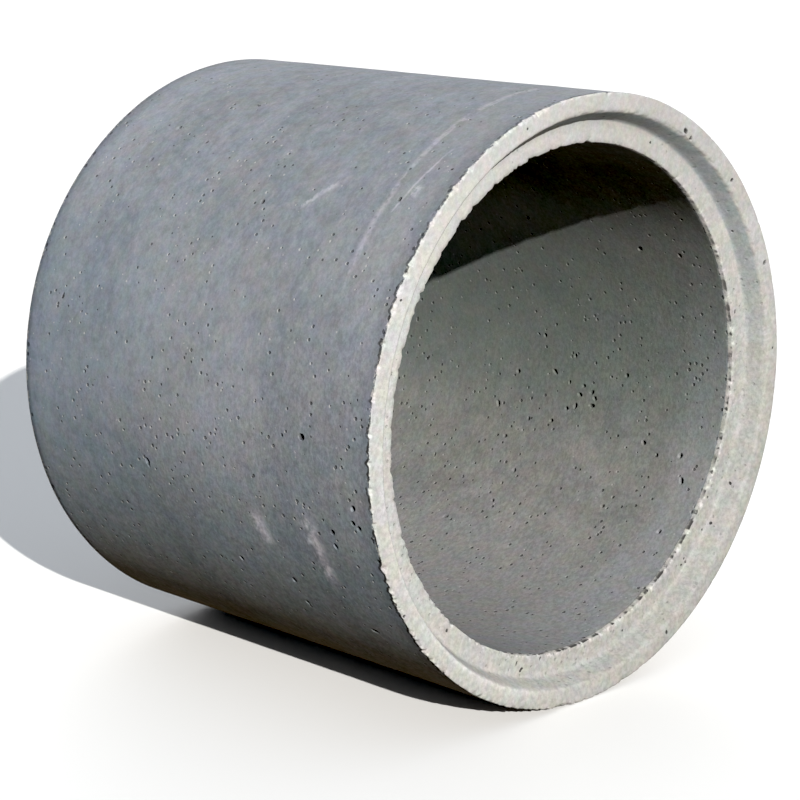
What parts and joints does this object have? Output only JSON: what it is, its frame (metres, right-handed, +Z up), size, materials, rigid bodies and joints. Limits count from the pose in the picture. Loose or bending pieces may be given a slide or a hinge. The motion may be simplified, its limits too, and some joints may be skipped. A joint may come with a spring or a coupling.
{
  "type": "concrete sewer pipe",
  "caption": "Round concrete sewer pipe lying on its side, with a recessed socket in one end and a matching tongue at the other.",
  "frame": {"origin": "middle of the underside, where the pipe lies on the floor", "axes": "+X along the pipe's axis and out of the socket, +Z up, +Y across the pipe"},
  "size_m": [1.038, 1.1996, 1.2],
  "materials": {
    "concrete": "cast concrete, matt, with small air holes"
  },
  "bodies": {
    "root": {"pipe": "concrete"}
  },
  "joints": []
}
